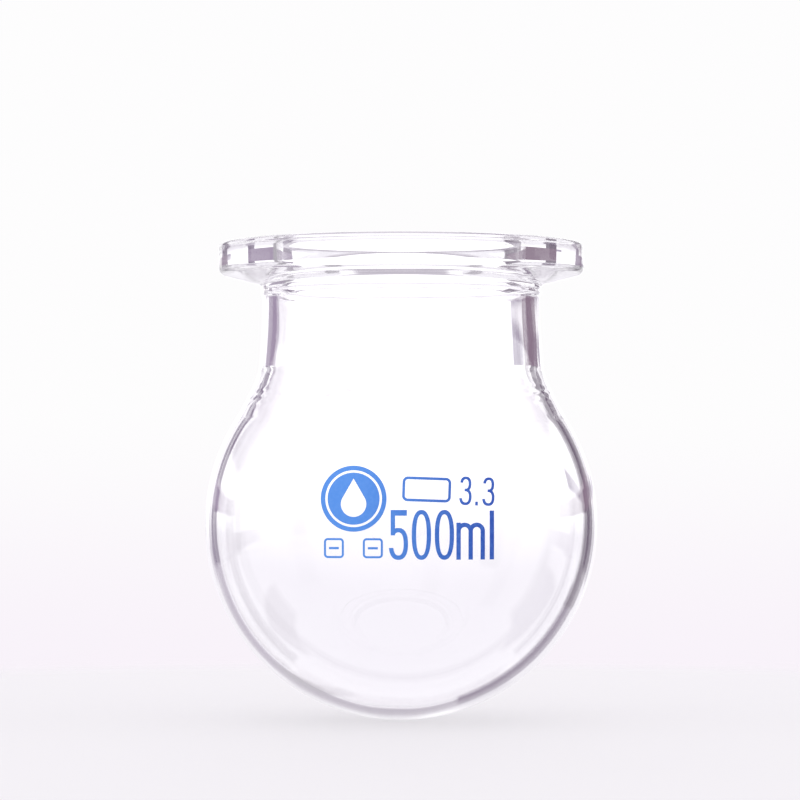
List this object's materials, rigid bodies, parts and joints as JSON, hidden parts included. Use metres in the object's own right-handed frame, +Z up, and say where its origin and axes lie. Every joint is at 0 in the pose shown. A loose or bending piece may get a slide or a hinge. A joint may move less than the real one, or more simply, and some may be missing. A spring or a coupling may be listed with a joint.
{
  "type": "round bottom flask",
  "caption": "Clear glass round bottom flask with a short wide neck, a flat ground flange and a blue capacity print.",
  "frame": {"origin": "lowest point of the round bottom, on the flask's axis", "axes": "+Z up the axis towards the mouth, -Y towards the printed front, +X to the print's right"},
  "size_m": [0.107, 0.107, 0.13],
  "materials": {
    "clear_glass": "fire-polished borosilicate glass",
    "weld_glass": "flame-worked borosilicate glass, slightly rippled",
    "blue_enamel": "fired-on blue enamel, satin"
  },
  "bodies": {
    "root": {"flange_ring": "clear_glass", "flange_weld": "weld_glass", "neck_tube": "clear_glass", "shoulder_weld": "weld_glass", "bulb": "clear_glass", "emblem_print": "blue_enamel", "emblem_bars_print": "blue_enamel", "grade_field_print": "blue_enamel", "grade_figures_print": "blue_enamel", "capacity_figures_print": "blue_enamel", "capacity_unit_print": "blue_enamel"}
  },
  "joints": []
}
